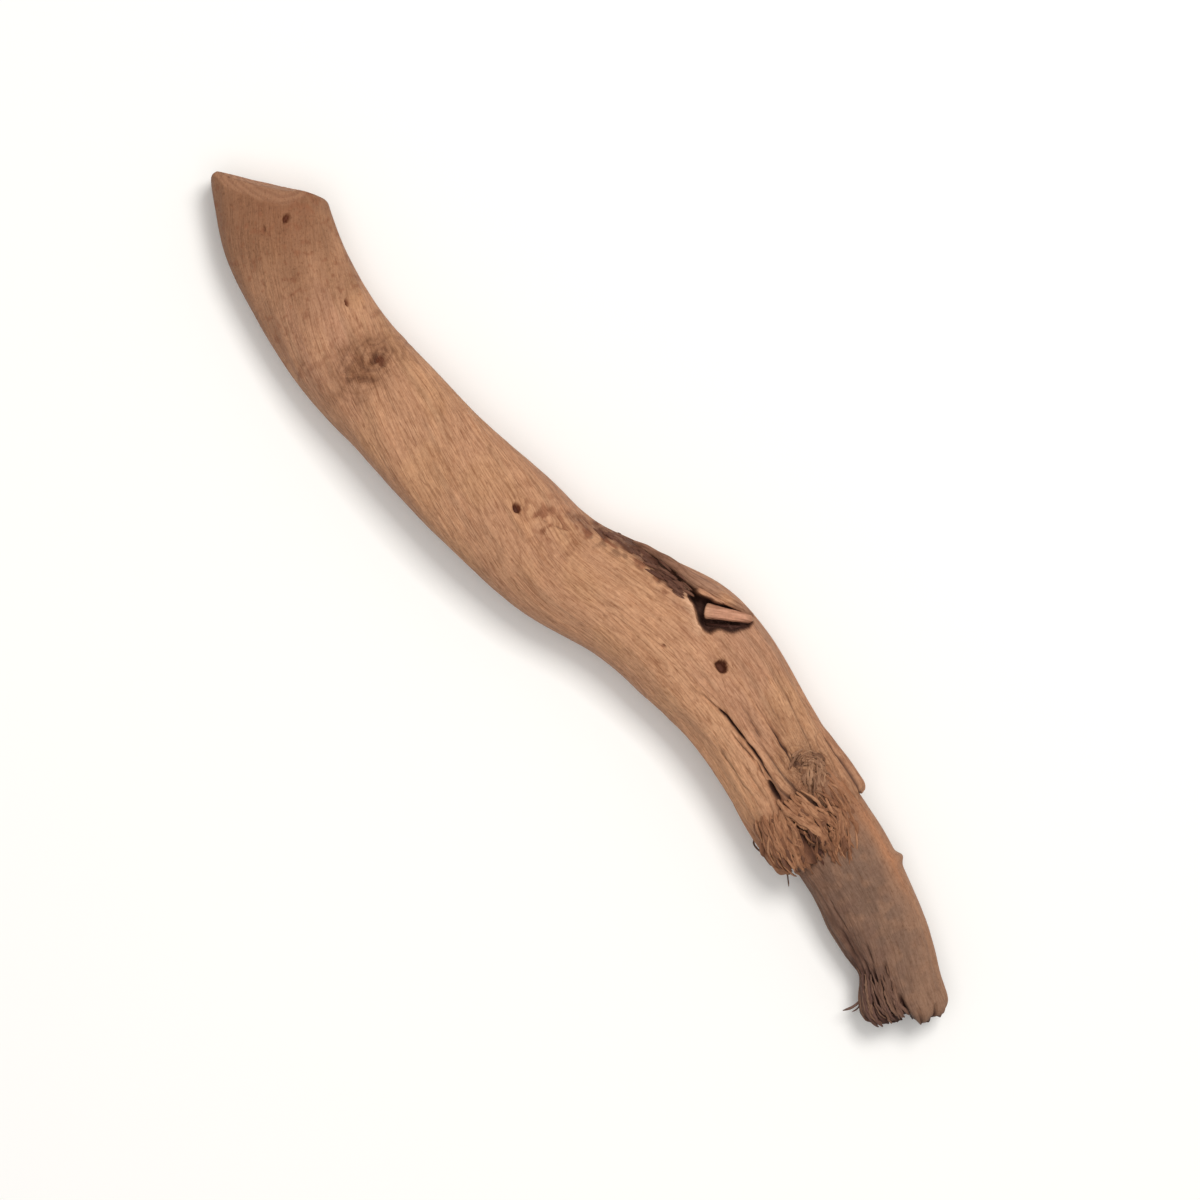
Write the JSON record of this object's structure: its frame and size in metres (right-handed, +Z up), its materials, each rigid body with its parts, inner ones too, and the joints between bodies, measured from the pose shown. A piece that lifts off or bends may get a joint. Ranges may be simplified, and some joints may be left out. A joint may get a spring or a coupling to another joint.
{
  "type": "spiderwood root",
  "caption": "Thick, dry, gently S-curved root lying on its side, sawn off at one end and torn and frayed at the other, for tanks, terrariums and displays.",
  "frame": {"origin": "on the surface that the root lies on, under the middle of its outline seen from above", "axes": "+X along the root from the sawn end to the torn end, +Z up, +Y to the side where the hollow with the dead side root is"},
  "size_m": [0.2435, 0.0493, 0.0224],
  "materials": {
    "root_wood": "dry, bare, weathered wood with fine grain along the root, matte, pale tan with browner hollows and a greyer torn core"
  },
  "bodies": {
    "root": {"spiderwood_root": "root_wood"}
  },
  "joints": []
}
